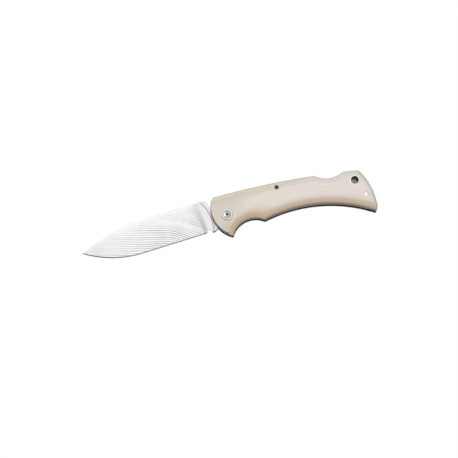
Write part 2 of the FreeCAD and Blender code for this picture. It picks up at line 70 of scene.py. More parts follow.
# A span holds the readings at which a fade starts and ends.
Span = tuple[float, float]
Socket = bpy.types.NodeSocket
Node = bpy.types.Node
NodeTree = bpy.types.NodeTree
Material = bpy.types.Material
Mesh = bmesh.types.BMesh
Value = Union[Socket, float]
Tone = Union[Socket, Colour]


class Body(Enum):
    """The bodies of the frame that pieces ride on."""

    HANDLE = "handle"
    BLADE = "blade"
    LOCK_BAR = "lock_bar"


class Slot(Enum):
    """The record's material slots that finished pieces belong to."""

    BLADE = "blade_steel"
    LINER = "liner_steel"
    LOCK = "lock_steel"
    POLISHED = "polished_steel"
    WASHER = "washer_bronze"
    BLACKENED = "blackened_steel"


class Side(Enum):
    """The two sides of the handle, as they begin the names of their pieces."""

    FRONT = "front"
    REAR = "rear"


def shifted(base: float, span: Span) -> Span:
    """Gives a span that is measured from a base."""
    return base + span[0], base + span[1]


class Graph:
    """Adds nodes to one node tree and links them."""

    def __init__(self, tree: NodeTree) -> None:
        """Keeps the tree that the nodes go into."""
        self.tree = tree

    def feed(self, socket: Socket, value: Any) -> None:
        """Gives an input its value.

        Args:
            socket: The input.
            value: A socket to link from, or a plain value.
        """
        if isinstance(value, Socket):
            self.tree.links.new(value, socket)
        else:
            socket.default_value = value

    def add(self, kind: str, inputs: Mapping[str | int, Any] | None = None, **settings: Any) -> Node:
        """Adds one node.

        Args:
            kind: The node's type, without its prefix ShaderNode.
            inputs: A socket to link from or a plain value, for each input by name or index.
            settings: The node's own settings.

        Returns:
            The new node.
        """
        node = self.tree.nodes.new(f"ShaderNode{kind}")
        for name, value in settings.items():
            setattr(node, name, value)
        for key, value in (inputs or {}).items():
            self.feed(node.inputs[key], value)
        return node

    def math(self, operation: str, *values: Value, clamp: bool = False) -> Socket:
        """Adds a Math node.

        Args:
            operation: The node's operation.
            values: A socket or number for each input in order.
            clamp: Keeps the result between 0 and 1.

        Returns:
            The node's result.
        """
        node = self.add("Math", dict(enumerate(values)), operation=operation, use_clamp=clamp)
        return node.outputs[0]

    def times(self, first: Socket, *others: Value) -> Socket:
        """Multiplies values in order.

        Args:
            first: The first value.
            others: The values that it is multiplied by.

        Returns:
            The product.
        """
        for value in others:
            first = self.math("MULTIPLY", first, value)
        return first

    def rest(self, share: Value) -> Socket:
        """Gives what a share leaves of 1."""
        return self.math("SUBTRACT", 1.0, share)

    def fade(self, value: Value, start: float, end: float, low: float = 0.0, high: float = 1.0) -> Socket:
        """Adds a smooth step.

        Args:
            value: The socket that is read.
            start: The reading that gives low.
            end: The reading that gives high.
            low: The result before start.
            high: The result after end.

        Returns:
            The result, clamped.
        """
        inputs = {0: value, 1: start, 2: end, 3: low, 4: high}
        return self.add("MapRange", inputs, interpolation_type="SMOOTHSTEP", clamp=True).outputs[0]

    def blend(self, factor: Value, first: Tone, second: Tone) -> Socket:
        """Mixes two colours.

        Args:
            factor: How much of the second colour.
            first: A socket or an RGB colour.
            second: A socket or an RGB colour.

        Returns:
            The mixed colour.
        """
        colours = [c if isinstance(c, Socket) else (*c, 1.0) for c in (first, second)]
        node = self.add("Mix", {0: factor, 6: colours[0], 7: colours[1]}, data_type="RGBA")
        return node.outputs[2]

    def noise(self, vector: Socket, scale: Value, detail: float = 2.0, roughness: float = 0.5) -> Socket:
        """Adds a noise texture.

        Args:
            vector: The coordinates.
            scale: The texture's scale.
            detail: The number of octaves.
            roughness: How strong the fine octaves are.

        Returns:
            The noise value, from 0 to 1.
        """
        inputs = {"Vector": vector, "Scale": scale, "Detail": detail, "Roughness": roughness}
        return self.add("TexNoise", inputs).outputs[0]

    def split(self, vector: Socket) -> Sequence[Socket]:
        """Gives a vector's three values."""
        return self.add("SeparateXYZ", {0: vector}).outputs

    def join(self, x: Value, y: Value, z: Value) -> Socket:
        """Makes a vector of three values."""
        return self.add("CombineXYZ", {0: x, 1: y, 2: z}).outputs[0]

    def length(self, vector: Socket) -> Socket:
        """Gives a vector's length."""
        return self.add("VectorMath", {0: vector}, operation="LENGTH").outputs["Value"]

    def facing(self) -> Sequence[Socket]:
        """Gives the way that the surface faces, as three values."""
        return self.split(self.add("TexCoord").outputs["Normal"])

    def place(
        self, stretch: Triple = PLAIN, turn: float = 0.0, centre: Point = (0.0, 0.0)
    ) -> Socket:
        """Reads Object coordinates through a Mapping node.

        Args:
            stretch: The stretch on each axis after the change to millimetres.
            turn: A turn about Z, in radians.
            centre: The point, in millimetres, that becomes the origin.

        Returns:
            The coordinates, in stretched millimetres.
        """
        start = Vector((-centre[0] * stretch[0], -centre[1] * stretch[1], 0.0))
        inputs = {
            "Vector": self.add("TexCoord").outputs["Object"],
            "Location": Matrix.Rotation(turn, 3, "Z") @ start,
            "Rotation": (0.0, 0.0, turn),
            "Scale": Vector(stretch) / MM,
        }
        return self.add("Mapping", inputs, vector_type="POINT").outputs[0]


class Effects:
    """The surface effects that several finishes share, as shader node groups.

    A pair named for a noise holds its octaves and their roughness, and a pair named for an edge
    the noise values between which it fades in.
    """

    CLOUDS = (3.0, 0.55)
    CLOUD_EDGE = (0.34, 0.66)
    GRAIN = (4.0, 0.6)
    GRAIN_EDGE = (0.3, 0.7)
    LINE_STRETCH = (0.03, 1.0, 1.0)
    LINES = (3.0, 0.7)
    LINE_EDGE = (0.25, 0.75)
    SCRATCH_SCALE = 0.22
    SCRATCH_EDGE = (0.58, 0.7)
    STREAK_SCALE = 9.0
    STREAKS = (3.0, 0.6)
    STREAK_EDGE = (0.3, 0.7)
    SMEAR_SCALE = 0.16
    SMEARS = (4.0, 0.65)
    SMEAR_EDGE = (0.35, 0.7)
    PATCH_SCALE = 2.2
    PATCHES = (3.0, 0.6)
    PATCH_HEIGHT = 0.12

    def __init__(self) -> None:
        """Builds each group once."""
        self.mottling = self._mottling()
        self.ground_lines = self._ground_lines()
        self.turned_rings = self._turned_rings()
        self.handling = self._handling()
        self.depth_shade = self._depth_shade()

    @staticmethod
    def _start(
        name: str, inputs: Mapping[str, float], outputs: Sequence[str]
    ) -> tuple[Graph, dict[str, Socket], Node]:
        """Starts a group that reads coordinates.

        Args:
            name: The group's name.
            inputs: The default of each input beside the coordinates.
            outputs: The names of the values that it puts out.

        Returns:
            The group's graph, its inputs by name and its output node.
        """
        tree = bpy.data.node_groups.new(name, "ShaderNodeTree")
        tree.interface.new_socket("Vector", in_out="INPUT", socket_type="NodeSocketVector")
        for label, value in inputs.items():
            socket = tree.interface.new_socket(label, in_out="INPUT", socket_type="NodeSocketFloat")
            socket.default_value = value
        for label in outputs:
            tree.interface.new_socket(label, in_out="OUTPUT", socket_type="NodeSocketFloat")
        entry = tree.nodes.new("NodeGroupInput")
        leave = tree.nodes.new("NodeGroupOutput")
        return Graph(tree), {s.name: s for s in entry.outputs if s.name}, leave

    def _mottling(self) -> NodeTree:
        """Builds soft clouds and fine grain.

        Returns:
            The group.
        """
        defaults = {"Cloud Scale": 0.1, "Grain Scale": 2.0}
        graph, given, leave = self._start("mottling", defaults, ("Clouds", "Grain"))
        clouds = graph.noise(given["Vector"], given["Cloud Scale"], *self.CLOUDS)
        grain = graph.noise(given["Vector"], given["Grain Scale"], *self.GRAIN)
        graph.feed(leave.inputs["Clouds"], graph.fade(clouds, *self.CLOUD_EDGE))
        graph.feed(leave.inputs["Grain"], graph.fade(grain, *self.GRAIN_EDGE))
        return graph.tree

    def _ground_lines(self) -> NodeTree:
        """Builds fine lines along X, as a grinding belt leaves them, with a few scratches.

        Returns:
            The group.
        """
        graph, given, leave = self._start("ground_lines", {"Fineness": 6.0}, ("Lines", "Scratches"))
        inputs = {0: given["Vector"], 1: self.LINE_STRETCH}
        stretched = graph.add("VectorMath", inputs, operation="MULTIPLY").outputs[0]
        lines = graph.noise(stretched, given["Fineness"], *self.LINES)
        coarse = graph.noise(stretched, graph.times(given["Fineness"], self.SCRATCH_SCALE))
        graph.feed(leave.inputs["Lines"], graph.fade(lines, *self.LINE_EDGE))
        graph.feed(leave.inputs["Scratches"], graph.fade(coarse, *self.SCRATCH_EDGE))
        return graph.tree

    def _turned_rings(self) -> NodeTree:
        """Builds rings round the Z axis, as a lathe tool leaves them, with uneven streaks.

        Returns:
            The group.
        """
        graph, given, leave = self._start("turned_rings", {"Pitch": 0.12}, ("Rings", "Streaks"))
        x, y, z = graph.split(given["Vector"])
        radius = graph.length(graph.join(x, y, 0.0))
        turns = graph.math("DIVIDE", radius, given["Pitch"])
        wave = graph.math("SINE", graph.times(turns, math.tau))
        streaks = graph.noise(graph.join(radius, 0.0, z), self.STREAK_SCALE, *self.STREAKS)
        graph.feed(leave.inputs["Rings"], graph.math("MULTIPLY_ADD", wave, 0.5, 0.5))
        graph.feed(leave.inputs["Streaks"], graph.fade(streaks, *self.STREAK_EDGE))
        return graph.tree

    def _handling(self) -> NodeTree:
        """Builds a roughness that varies as a handled surface does.

        Returns:
            The group.
        """
        graph, given, leave = self._start("handling", {"Clean": 0.3, "Worn": 0.4}, ("Roughness",))
        smears = graph.noise(given["Vector"], self.SMEAR_SCALE, *self.SMEARS)
        share = graph.fade(smears, *self.SMEAR_EDGE)
        node = graph.add("MapRange", {0: share, 3: given["Clean"], 4: given["Worn"]})
        graph.feed(leave.inputs["Roughness"], node.outputs[0])
        return graph.tree

    def _depth_shade(self) -> NodeTree:
        """Builds painted shade that darkens what lies below a level, measured from the handle's middle.

        Returns:
            The group.
        """
        defaults = {"Clean Level": 7.2, "Full Level": 6.9}
        graph, given, leave = self._start("painted_depth_shade", defaults, ("Depth Shade",))
        height = graph.split(given["Vector"])[2]
        half = graph.math("ABSOLUTE", graph.math("SUBTRACT", height, MID_HEIGHT))
        patches = graph.noise(given["Vector"], self.PATCH_SCALE, *self.PATCHES)
        uneven = graph.math("SUBTRACT", patches, 0.5)
        ragged = graph.math("MULTIPLY_ADD", uneven, self.PATCH_HEIGHT, half)
        share = graph.add("MapRange", {0: ragged, 1: given["Clean Level"], 2: given["Full Level"]})
        graph.feed(leave.inputs["Depth Shade"], share.outputs[0])
        return graph.tree


def start_material(name: str, **constants: Any) -> tuple[Material, Graph, Node]:
    """Starts a node material with one Principled shader.

    Args:
        name: The material's name.
        constants: Plain values for the shader's sockets, with underscores for spaces.

    Returns:
        The material, its graph and its shader.
    """
    material = bpy.data.materials.new(name)
    material.use_nodes = True
    material.node_tree.nodes.clear()
    graph = Graph(material.node_tree)
    shader = graph.add("BsdfPrincipled")
    for label, value in constants.items():
        shader.inputs[label.replace("_", " ")].default_value = value
    graph.add("OutputMaterial", {"Surface": shader.outputs[0]})
    return material, graph, shader


def use_group(graph: Graph, tree: NodeTree, **values: Any) -> dict[str, Socket]:
    """Places a group in a material.

    Args:
        graph: The material's graph.
        tree: The group.
        values: Sockets or numbers for the group's inputs, with underscores for spaces.

    Returns:
        The group's outputs by name.
    """
    node = graph.tree.nodes.new("ShaderNodeGroup")
    node.node_tree = tree
    for label, value in values.items():
        graph.feed(node.inputs[label.replace("_", " ")], value)
    return {s.name: s for s in node.outputs}


def connect(graph: Graph, shader: Node, height: Socket, depth: float, **sockets: Socket) -> None:
    """Links a shader's varying inputs.

    Args:
        graph: The material's graph.
        shader: The Principled shader.
        height: The relief, from 0 to 1.
        depth: The relief's depth, in metres.
        sockets: Sockets for the shader's inputs, with underscores for spaces.
    """
    for label, value in sockets.items():
        graph.feed(shader.inputs[label.replace("_", " ")], value)
    relief = graph.add("Bump", {"Height": height, "Strength": 1.0, "Distance": depth})
    graph.feed(shader.inputs["Normal"], relief.outputs[0])


@dataclass(frozen=True)
class LayeredSteel:
    """Etched steel of many folded layers, whose lines bend down towards the ricasso, with painted shade on
    the plunge, the step, the edge bevel and the tang's sides.
    """

    bright: Colour = (0.76, 0.76, 0.765)
    dark: Colour = (0.46, 0.46, 0.47)
    duller: Colour = (0.65, 0.65, 0.655)
    # Painted shade: the darker colour that the plunge's slope is painted with.
    satin: Colour = (0.42, 0.42, 0.425)
    # Painted shade in the corner of the ricasso's step.
    step_shade: Colour = (0.30, 0.295, 0.29)
    # Painted reflection: the edge bevel's dark reflection, painted as a darker steel colour, darkest towards
    # the tip.
    keen: Colour = (0.36, 0.36, 0.365)
    keen_tip: Colour = (0.20, 0.20, 0.203)
    # Painted shade on the tang's upright sides and along the kick's lower outline.
    side_shade: Colour = (0.05, 0.05, 0.052)
    pitch: float = 1.5
    bend_start: float = -36.0
    bend_slope: float = 0.36
    bend_ease: float = 5.0
    waviness: float = 1.8
    wave_scale: float = 0.07
    strand_stretch: float = 0.03
    strand_scale: float = 0.55
    strand_share: float = 2.6
    line_edge: Span = (-0.1, 0.9)
    spine: float = 13.62
    spine_fall: float = -48.0
    spine_edge: Span = (0.5, 3.5)
    face_depth: Span = (1.0, 17.0)
    face_shares: Span = (0.45, 0.9)
    tip: Point = (-99.8, 2.7)
    tip_lines: float = 0.5
    tip_lines_end: float = -52.0
    tip_dull: float = 0.9
    keen_tip_end: float = -87.8
    belly: Point = (-62.0, -8.5)
    heel: Point = (-15.7, -7.7)
    bevel: float = 0.8
    bevel_edge: Span = (0.08, -0.04)
    bevel_start: Span = (-16.7, -19.5)
    tang: Span = (-13.4, -12.4)
    upright: Span = (0.96, 0.6)
    dull_start: float = -28.05
    plunge: Span = (-15.7, -18.7)
    plunge_edge: Span = (1.2, -0.6)
    plunge_lean: float = 0.1
    plunge_middle: float = 2.5
    band_front: Span = (-1.2, 1.0)
    band_rear: Span = (0.8, -1.0)
    band_low: float = -3.0
    band_shares: Span = (0.3, 0.85)
    step_centre: Point = (-35.7, -1.2)
    step_radius: float = 25.0
    step_inner: Span = (-0.25, 0.1)
    step_outer: Span = (1.5, 0.3)
    step_share: float = 0.6
    kick_start: Span = (-12.8, -12.0)
    kick_rear: Point = (-10.4, -8.3)
    kick_neck: Point = (-7.3, -6.4)
    kick_rim: Span = (0.85, 0.3)
    kick_share: float = 0.8
    ground_fineness: float = 5.0
    ground_share: float = 0.05
    ground_depth: float = 0.1
    clean: float = 0.2
    worn: float = 0.27
    etched_rough: float = 0.14
    relief: float = 5e-6

    def material(self, effects: Effects) -> Material:
        """Builds the material.

        Args:
            effects: The shared effects.

        Returns:
            The material.
        """
        material, graph, shader = start_material("layered_steel", Metallic=1.0)
        plain = graph.place()
        x, y, _ = graph.split(plain)
        keen = self._keen_edge(graph, x, y)
        etched = graph.times(self._layers(graph), self._ground_face(graph, x, y), graph.rest(keen))
        upwards = graph.place(turn=math.pi / 2)
        ground = use_group(graph, effects.ground_lines, Vector=upwards, Fineness=self.ground_fineness)
        by_tang = graph.fade(x, self.dull_start, self.plunge[0])
        by_tip = graph.fade(x, self.belly[0], self.tip[0], 0.0, self.tip_dull)
        tone = graph.blend(graph.math("MAXIMUM", by_tang, by_tip), self.bright, self.duller)
        by_point = graph.fade(x, self.belly[0], self.keen_tip_end)
        for share, colour in (
            (etched, self.dark),
            (graph.times(ground["Lines"], self.ground_share), self.dark),
            # The plunge band, the step line, the kick line, the edge bevel and the tang's sides are painted
            # shade.
            (self._plunge_band(graph, x, y), self.satin),
            (self._step_line(graph, x), self.step_shade),
            (self._kick_line(graph, x, y), self.side_shade),
            (keen, graph.blend(by_point, self.keen, self.keen_tip)),
            (self._shaded_sides(graph, x), self.side_shade),
        ):
            tone = graph.blend(share, tone, colour)
        smear = use_group(graph, effects.handling, Vector=plain, Clean=self.clean, Worn=self.worn)
        rough = graph.math("MULTIPLY_ADD", etched, self.etched_rough, smear["Roughness"])
        height = graph.math("SUBTRACT", graph.times(ground["Lines"], self.ground_depth), etched)
        connect(graph, shader, height, self.relief, Base_Color=tone, Roughness=rough)
        return material

    def _layers(self, graph: Graph) -> Socket:
        """The dark layers, as lines of uneven width.

        Args:
            graph: The material's graph.

        Returns:
            The lines' mask.
        """
        turned = graph.place(turn=PHOTO_TURN)
        along, across, _ = graph.split(turned)
        past = graph.math("SUBTRACT", along, self.bend_start)
        ramp = graph.math("SMOOTH_MAX", past, 0.0, self.bend_ease)
        bent = graph.math("MULTIPLY_ADD", ramp, self.bend_slope, across)
        drift = graph.math("SUBTRACT", graph.noise(turned, self.wave_scale, 1.0), 0.5)
        level = graph.math("MULTIPLY_ADD", drift, self.waviness, bent)
        wave = graph.math("SINE", graph.times(level, math.tau / self.pitch))
        strand = graph.join(graph.times(along, self.strand_stretch), level, 0.0)
        uneven = graph.math("SUBTRACT", graph.noise(strand, self.strand_scale, 1.0), 0.5)
        return graph.fade(graph.math("MULTIPLY_ADD", uneven, self.strand_share, wave), *self.line_edge)

    def _ground_face(self, graph: Graph, x: Socket, y: Socket) -> Socket:
        """Where the layers show: on the ground faces, less towards the spine and the tip.

        Args:
            graph: The material's graph.
            x: The coordinate along the blade, in millimetres.
            y: The coordinate across the blade.

        Returns:
            The mask.
        """
        run = self.spine_fall - self.tip[0]
        fall = graph.math("DIVIDE", graph.math("SUBTRACT", self.spine_fall, x), run, clamp=True)
        drop = graph.math("POWER", fall, 2.0)
        back = graph.math("MULTIPLY_ADD", drop, self.tip[1] - self.spine, self.spine)
        below = graph.math("SUBTRACT", back, y)
        by_spine = graph.fade(below, *self.spine_edge)
        by_depth = graph.fade(below, *self.face_depth, *self.face_shares)
        by_plunge = graph.fade(x, *shifted(self.plunge[1], self.plunge_edge))
        by_tip = graph.fade(x, self.tip[0], self.tip_lines_end, self.tip_lines)
        return graph.times(by_spine, by_depth, by_plunge, by_tip)

    def _keen_edge(self, graph: Graph, x: Socket, y: Socket) -> Socket:
        """The narrow bevel along the edge: a straight run from the heel, then an arc up to the tip.

        Args:
            graph: The material's graph.
            x: The coordinate along the blade, in millimetres.
            y: The coordinate across the blade.

        Returns:
            The mask.
        """
        run, rise = self.belly[0] - self.tip[0], self.tip[1] - self.belly[1]
        radius = (run**2 + rise**2) / (2.0 * rise)
        past = graph.math("MAXIMUM", graph.math("SUBTRACT", self.belly[0], x), 0.0)
        inside = graph.math("SUBTRACT", radius**2, graph.math("POWER", past, 2.0))
        lift = graph.math("SUBTRACT", radius, graph.math("SQRT", inside))
        slope = (self.heel[1] - self.belly[1]) / (self.heel[0] - self.belly[0])
        ahead = graph.math("MAXIMUM", graph.math("SUBTRACT", x, self.belly[0]), 0.0)
        edge = graph.math("MULTIPLY_ADD", ahead, slope, graph.math("ADD", lift, self.belly[1]))
        height = graph.math("SUBTRACT", y, edge)
        mask = graph.fade(height, *shifted(self.bevel, self.bevel_edge))
        return graph.times(mask, graph.fade(x, *self.bevel_start))

    def _shaded_sides(self, graph: Graph, x: Socket) -> Socket:
        """The upright sides of the tang, painted near-black as shade.

        Args:
            graph: The material's graph.
            x: The coordinate along the blade, in millimetres.

        Returns:
            The mask.
        """
        lean = graph.math("ABSOLUTE", graph.facing()[2])
        return graph.times(graph.fade(lean, *self.upright), graph.fade(x, *self.tang))

    def _plunge_band(self, graph: Graph, x: Socket, y: Socket) -> Socket:
        """The painted shade on the plunge's slope, stronger towards the edge.

        Args:
            graph: The material's graph.
            x: The coordinate along the blade, in millimetres.
            y: The coordinate across the blade.

        Returns:
            The mask.
        """
        above = graph.math("SUBTRACT", y, self.plunge_middle)
        leaned = graph.math("MULTIPLY_ADD", above, self.plunge_lean, x)
        front = graph.fade(leaned, *shifted(self.plunge[1], self.band_front))
        rear = graph.fade(leaned, *shifted(self.plunge[0], self.band_rear))
        return graph.times(front, rear, graph.fade(y, self.spine, self.band_low, *self.band_shares))

    def _step_line(self, graph: Graph, x: Socket) -> Socket:
        """The painted shade in the corner where the ricasso steps down to the tang.

        Args:
            graph: The material's graph.
            x: The coordinate along the blade, in millimetres.

        Returns:
            The mask.
        """
        radius = graph.length(graph.place(LEVEL, centre=self.step_centre))
        inner = graph.fade(radius, *shifted(self.step_radius, self.step_inner))
        outer = graph.fade(radius, *shifted(self.step_radius, self.step_outer))
        return graph.times(inner, outer, graph.fade(x, *self.plunge[::-1], 0.0, self.step_share))

    def _kick_line(self, graph: Graph, x: Socket, y: Socket) -> Socket:
        """The painted shadow along the lower outline of the kick.

        Args:
            graph: The material's graph.
            x: The coordinate along the blade, in millimetres.
            y: The coordinate across the blade.

        Returns:
            The mask.
        """
        run, rise = self.kick_neck[0] - self.kick_rear[0], self.kick_neck[1] - self.kick_rear[1]
        length = math.hypot(run, rise)
        beside = graph.times(graph.math("SUBTRACT", x, self.kick_rear[0]), -rise / length)
        over = graph.math("SUBTRACT", y, self.kick_rear[1])
        inside = graph.math("MINIMUM", graph.math("MULTIPLY_ADD", over, run / length, beside), over)
        rim = graph.fade(inside, *self.kick_rim, 0.0, self.kick_share)
        return graph.times(rim, graph.fade(x, *self.kick_start))


@dataclass(frozen=True)
class GripReadings:
    """What the grip's tones go by: a point's place, in millimetres, and the way its surface faces."""

    along: Socket
    height: Socket
    ahead: Socket
    across: Socket
    slope: Socket
    under: Socket


@dataclass(frozen=True)
class IvoryGrip:
    """Ivory coloured grip with faint clouds and fine lengthwise fibres, with painted shade on its back, pad,
    crest, finger groove, chin, belly and rims.
    """

    light: Colour = (0.785, 0.718, 0.665)
    cloud: Colour = (0.735, 0.655, 0.585)
    # Painted shade along the handle's back and in the hollow before the chin.
    spine: Colour = (0.585, 0.53, 0.412)
    # Painted shade on the pad in front of the crease and on the crease's narrow face.
    pad: Colour = (0.65, 0.592, 0.51)
    # Painted shade on the faces that turn towards the back.
    crest: Colour = (0.61, 0.565, 0.515)
    # Painted shade on the belly and the finger groove; the pores take this colour as their own.
    belly: Colour = (0.69, 0.56, 0.408)
    # Painted shade on the rounded rims, the lower wall and the front of the chin.
    upper_rim_shade: Colour = (0.33, 0.32, 0.295)
    lower_rim_shade: Colour = (0.40, 0.30, 0.20)
    lower_wall_shade: Colour = (0.11, 0.085, 0.06)
    chin: Colour = (0.13, 0.105, 0.08)
    cloud_stretch: Triple = (0.5, 1.0, 1.0)
    cloud_scale: float = 0.09
    cloud_share: float = 0.5
    fibre_stretch: Triple = (0.06, 1.0, 1.0)
    fibre_scale: float = 3.0
    fibre_share: float = 0.16
    fibre_depth: float = 0.4
    pore_scale: float = 2.6
    pore_edge: Span = (0.72, 0.8)
    pore_share: float = 0.25
    pore_depth: float = -0.6
    side_blend: Span = (0.10, -0.10)
    back: Span = (4.5, 9.5)
    back_share: float = 0.7
    pad_slant: float = math.radians(50.0)
    pad_line: Span = (11.5, 0.0)
    pad_share: float = 0.85
    pad_on_back: float = 0.25
    sweep_face: Span = (0.06, 0.26)
    sweep_share: float = 0.22
    butt_end: Span = (86.0, 94.0)
    butt_face: Span = (0.02, 0.2)
    crest_face: Span = (0.02, 0.22)
    crest_share: float = 0.8
    hollow_stretch: Triple = (0.8, 1.0, 0.0)
    groove_centre: Point = (21.0, -8.5)
    groove_reach: Span = (10.5, 5.0)
    groove_share: float = 0.62
    chin_centre: Point = (3.0, -12.0)
    chin_reach: Span = (10.5, 4.0)
    chin_share: float = 0.9
    belly_slope: Span = (0.001, 0.04)
    belly_share: float = 0.88
    upper_slope: Span = (0.012, 0.2)
    lower_slope: Span = (0.05, 0.4)
    wall_slope: Span = (0.26, 0.5)
    rim_share: float = 0.7
    chin_face: Span = (0.08, 0.6)
    chin_end: Span = (9.0, 3.0)
    clean: float = 0.36
    worn: float = 0.5
    relief: float = 1.2e-5

    def material(self, effects: Effects) -> Material:
        """Builds the material.

        Args:
            effects: The shared effects.

        Returns:
            The material.
        """
        material, graph, shader = start_material("ivory_grip", Metallic=0.0, IOR=1.5, Specular_IOR_Level=0.4)
        plain = graph.place()
        clouded = graph.place(self.cloud_stretch)
        clouds = use_group(graph, effects.mottling, Vector=clouded, Cloud_Scale=self.cloud_scale)
        drawn = graph.place(self.fibre_stretch)
        fibres = use_group(graph, effects.mottling, Vector=drawn, Grain_Scale=self.fibre_scale)
        pores = graph.fade(graph.noise(plain, self.pore_scale, 1.0), *self.pore_edge)
        tone = graph.blend(graph.times(clouds["Clouds"], self.cloud_share), self.light, self.cloud)
        tone = graph.blend(graph.times(fibres["Grain"], self.fibre_share), tone, self.cloud)
        seen = self._readings(graph, plain)
        # The pad, crest, back, groove, chin, belly and rim tones are painted shade; the pores are the grip's
        # own colour.
        tone = self._pad_shade_tone(graph, seen, tone)
        tone = self._shade_tones(graph, seen, tone)
        tone = self._rim_shade_tones(graph, seen, tone)
        tone = graph.blend(graph.times(pores, self.pore_share), tone, self.belly)
        smear = use_group(graph, effects.handling, Vector=plain, Clean=self.clean, Worn=self.worn)
        raised = graph.times(fibres["Grain"], self.fibre_depth)
        height = graph.math("MULTIPLY_ADD", pores, self.pore_depth, raised)
        connect(graph, shader, height, self.relief, Base_Color=tone, Roughness=smear["Roughness"])
        return material

    def _readings(self, graph: Graph, plain: Socket) -> GripReadings:
        """Reads what the tones go by.

        Args:
            graph: The material's graph.
            plain: The coordinates, in millimetres.

        Returns:
            The readings; under is 1 on the lower side, but not round the butt.
        """
        along, height, _ = graph.split(plain)
        ahead, across, lean = graph.facing()
        slope = graph.rest(graph.math("ABSOLUTE", lean))
        end = graph.times(graph.fade(along, *self.butt_end), graph.fade(ahead, *self.butt_face))
        under = graph.times(graph.fade(across, *self.side_blend), graph.rest(end))
        return GripReadings(along, height, ahead, across, slope, under)

    def _pad_shade_tone(self, graph: Graph, seen: GripReadings, tone: Socket) -> Socket:
        """Paints shade onto the pad in front of the slanting crease, and onto the narrow face in the crease
        to damp its highlight.

        Args:
            graph: The material's graph.
            seen: The readings.
            tone: The colour so far.

        Returns:
            The new colour.
        """
        sine, cosine = math.sin(self.pad_slant), math.cos(self.pad_slant)
        past = graph.math("MULTIPLY_ADD", seen.along, sine, graph.times(seen.height, -cosine))
        on_pad = graph.fade(past, *self.pad_line, 0.0, self.pad_share)
        low = graph.fade(seen.height, *self.back[::-1], self.pad_on_back)
        tone = graph.blend(graph.times(on_pad, low), tone, self.pad)
        front = graph.math("MULTIPLY_ADD", seen.ahead, -sine, graph.times(seen.across, cosine))
        return graph.blend(graph.fade(front, *self.sweep_face, 0.0, self.sweep_share), tone, self.pad)

    def _shade_tones(self, graph: Graph, seen: GripReadings, tone: Socket) -> Socket:
        """Paints shade onto the crest, the back, the finger groove, the chin and the belly.

        Args:
            graph: The material's graph.
            seen: The readings.
            tone: The colour so far.

        Returns:
            The new colour.
        """
        crest = graph.fade(seen.across, *self.crest_face, 0.0, self.crest_share)
        tone = graph.blend(crest, tone, self.crest)
        # Painted shade along the handle's back.
        back = graph.fade(seen.height, *self.back, 0.0, self.back_share)
        tone = graph.blend(back, tone, self.spine)
        # Painted shade over the finger groove and the hollow before the chin.
        for centre, reach, share, colour in (
            (self.groove_centre, self.groove_reach, self.groove_share, self.belly),
            (self.chin_centre, self.chin_reach, self.chin_share, self.spine),
        ):
            away = graph.length(graph.place(self.hollow_stretch, centre=centre))
            tone = graph.blend(graph.fade(away, *reach, 0.0, share), tone, colour)
        # Painted shade on the lower slopes, which face away from the light.
        sloping = graph.fade(seen.slope, *self.belly_slope, 0.0, self.belly_share)
        return graph.blend(graph.times(sloping, seen.under), tone, self.belly)

    def _rim_shade_tones(self, graph: Graph, seen: GripReadings, tone: Socket) -> Socket:
        """Paints shade onto the rounded rims, the lower wall and the front of the chin.

        Args:
            graph: The material's graph.
            seen: The readings.
            tone: The colour so far.

        Returns:
            The new colour.
        """
        for side, slopes, colour in (
            (graph.rest(seen.under), self.upper_slope, self.upper_rim_shade),
            (seen.under, self.lower_slope, self.lower_rim_shade),
            (seen.under, self.wall_slope, self.lower_wall_shade),
        ):
            rim = graph.times(graph.fade(seen.slope, *slopes, 0.0, self.rim_share), side)
            tone = graph.blend(rim, tone, colour)
        down_front = graph.times(graph.math("ADD", seen.ahead, seen.across), -math.sqrt(0.5))
        chin = graph.times(graph.fade(down_front, *self.chin_face), graph.fade(seen.along, *self.chin_end))
        return graph.blend(chin, tone, self.chin)


@dataclass(frozen=True)
class BlackFibre:
    """Dull pressed black fibre sheet, whose near-black is partly painted shade along the handle's lower
    side.
    """

    base: Colour = (0.007, 0.007, 0.007)
    fuzz: Colour = (0.022, 0.02, 0.018)
    fuzz_share: float = 0.6
    stretch: Triple = (0.5, 0.5, 4.0)
    grain_scale: float = 3.0
    clean: float = 0.6
    worn: float = 0.75
    relief: float = 1.5e-5

    def material(self, effects: Effects) -> Material:
        """Builds the material.

        Args:
            effects: The shared effects.

        Returns:
            The material.
        """
        material, graph, shader = start_material("black_fibre", Metallic=0.0, Specular_IOR_Level=0.06)
        pressed = graph.place(self.stretch)
        layers = use_group(graph, effects.mottling, Vector=pressed, Grain_Scale=self.grain_scale)
        tone = graph.blend(graph.times(layers["Grain"], self.fuzz_share), self.base, self.fuzz)
        smear = use_group(graph, effects.handling, Vector=graph.place(), Clean=self.clean, Worn=self.worn)
        connect(graph, shader, layers["Grain"], self.relief, Base_Color=tone, Roughness=smear["Roughness"])
        return material


